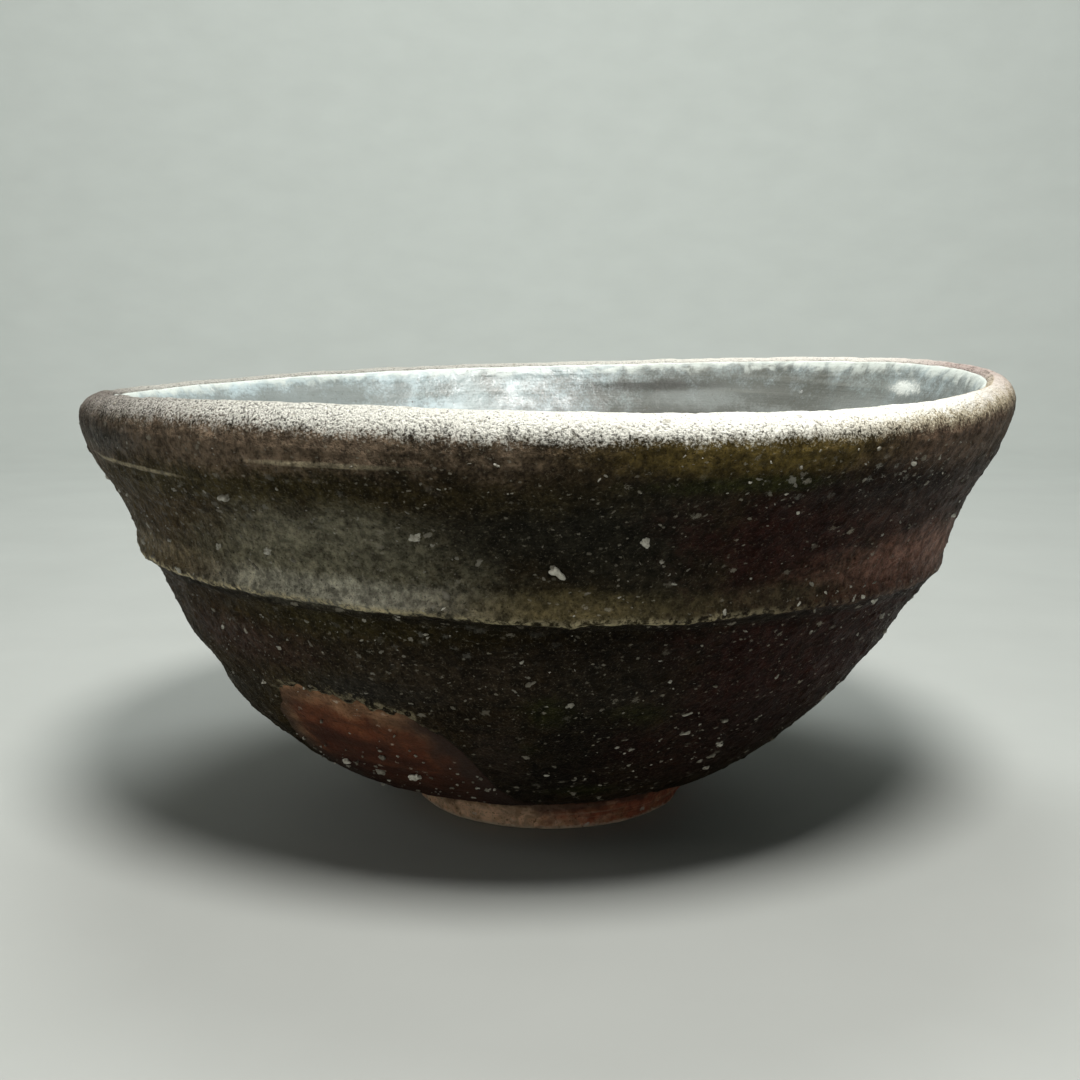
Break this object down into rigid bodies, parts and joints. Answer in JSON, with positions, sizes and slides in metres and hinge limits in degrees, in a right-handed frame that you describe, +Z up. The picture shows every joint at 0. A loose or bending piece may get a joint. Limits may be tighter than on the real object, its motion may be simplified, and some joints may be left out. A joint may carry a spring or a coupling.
{
  "type": "matcha bowl",
  "caption": "Hand-thrown stoneware tea bowl with a turned-out lip, a throwing ridge round its waist, ash glaze and a luted foot ring.",
  "frame": {"origin": "on the surface that the foot stands on, under the middle of the bowl's outline", "axes": "+Z up out of the bowl's mouth, -Y towards the side with the bare clay patch on its left, +X to the right of that side"},
  "size_m": [0.142, 0.142, 0.0696],
  "materials": {
    "bare_clay": "matte",
    "foot_clay": "matte",
    "ash_glaze": "satin",
    "pale_glaze": "gloss",
    "feldspar": "satin"
  },
  "bodies": {
    "root": {"clay_body": "bare_clay", "foot_ring": "foot_clay", "outer_glaze": "ash_glaze", "inner_glaze": "pale_glaze", "feldspar_grain_01": "feldspar", "feldspar_grain_02": "feldspar", "feldspar_grain_03": "feldspar", "feldspar_grain_04": "feldspar", "feldspar_grain_05": "feldspar", "feldspar_grain_06": "feldspar", "feldspar_grain_07": "feldspar", "feldspar_grain_08": "feldspar", "feldspar_grain_09": "feldspar", "feldspar_grain_10": "feldspar", "feldspar_grain_11": "feldspar", "feldspar_grain_12": "feldspar", "feldspar_grain_13": "feldspar", "feldspar_grain_14": "feldspar", "feldspar_grain_15": "feldspar", "feldspar_grain_16": "feldspar", "feldspar_grain_17": "feldspar", "feldspar_grain_18": "feldspar"}
  },
  "joints": []
}
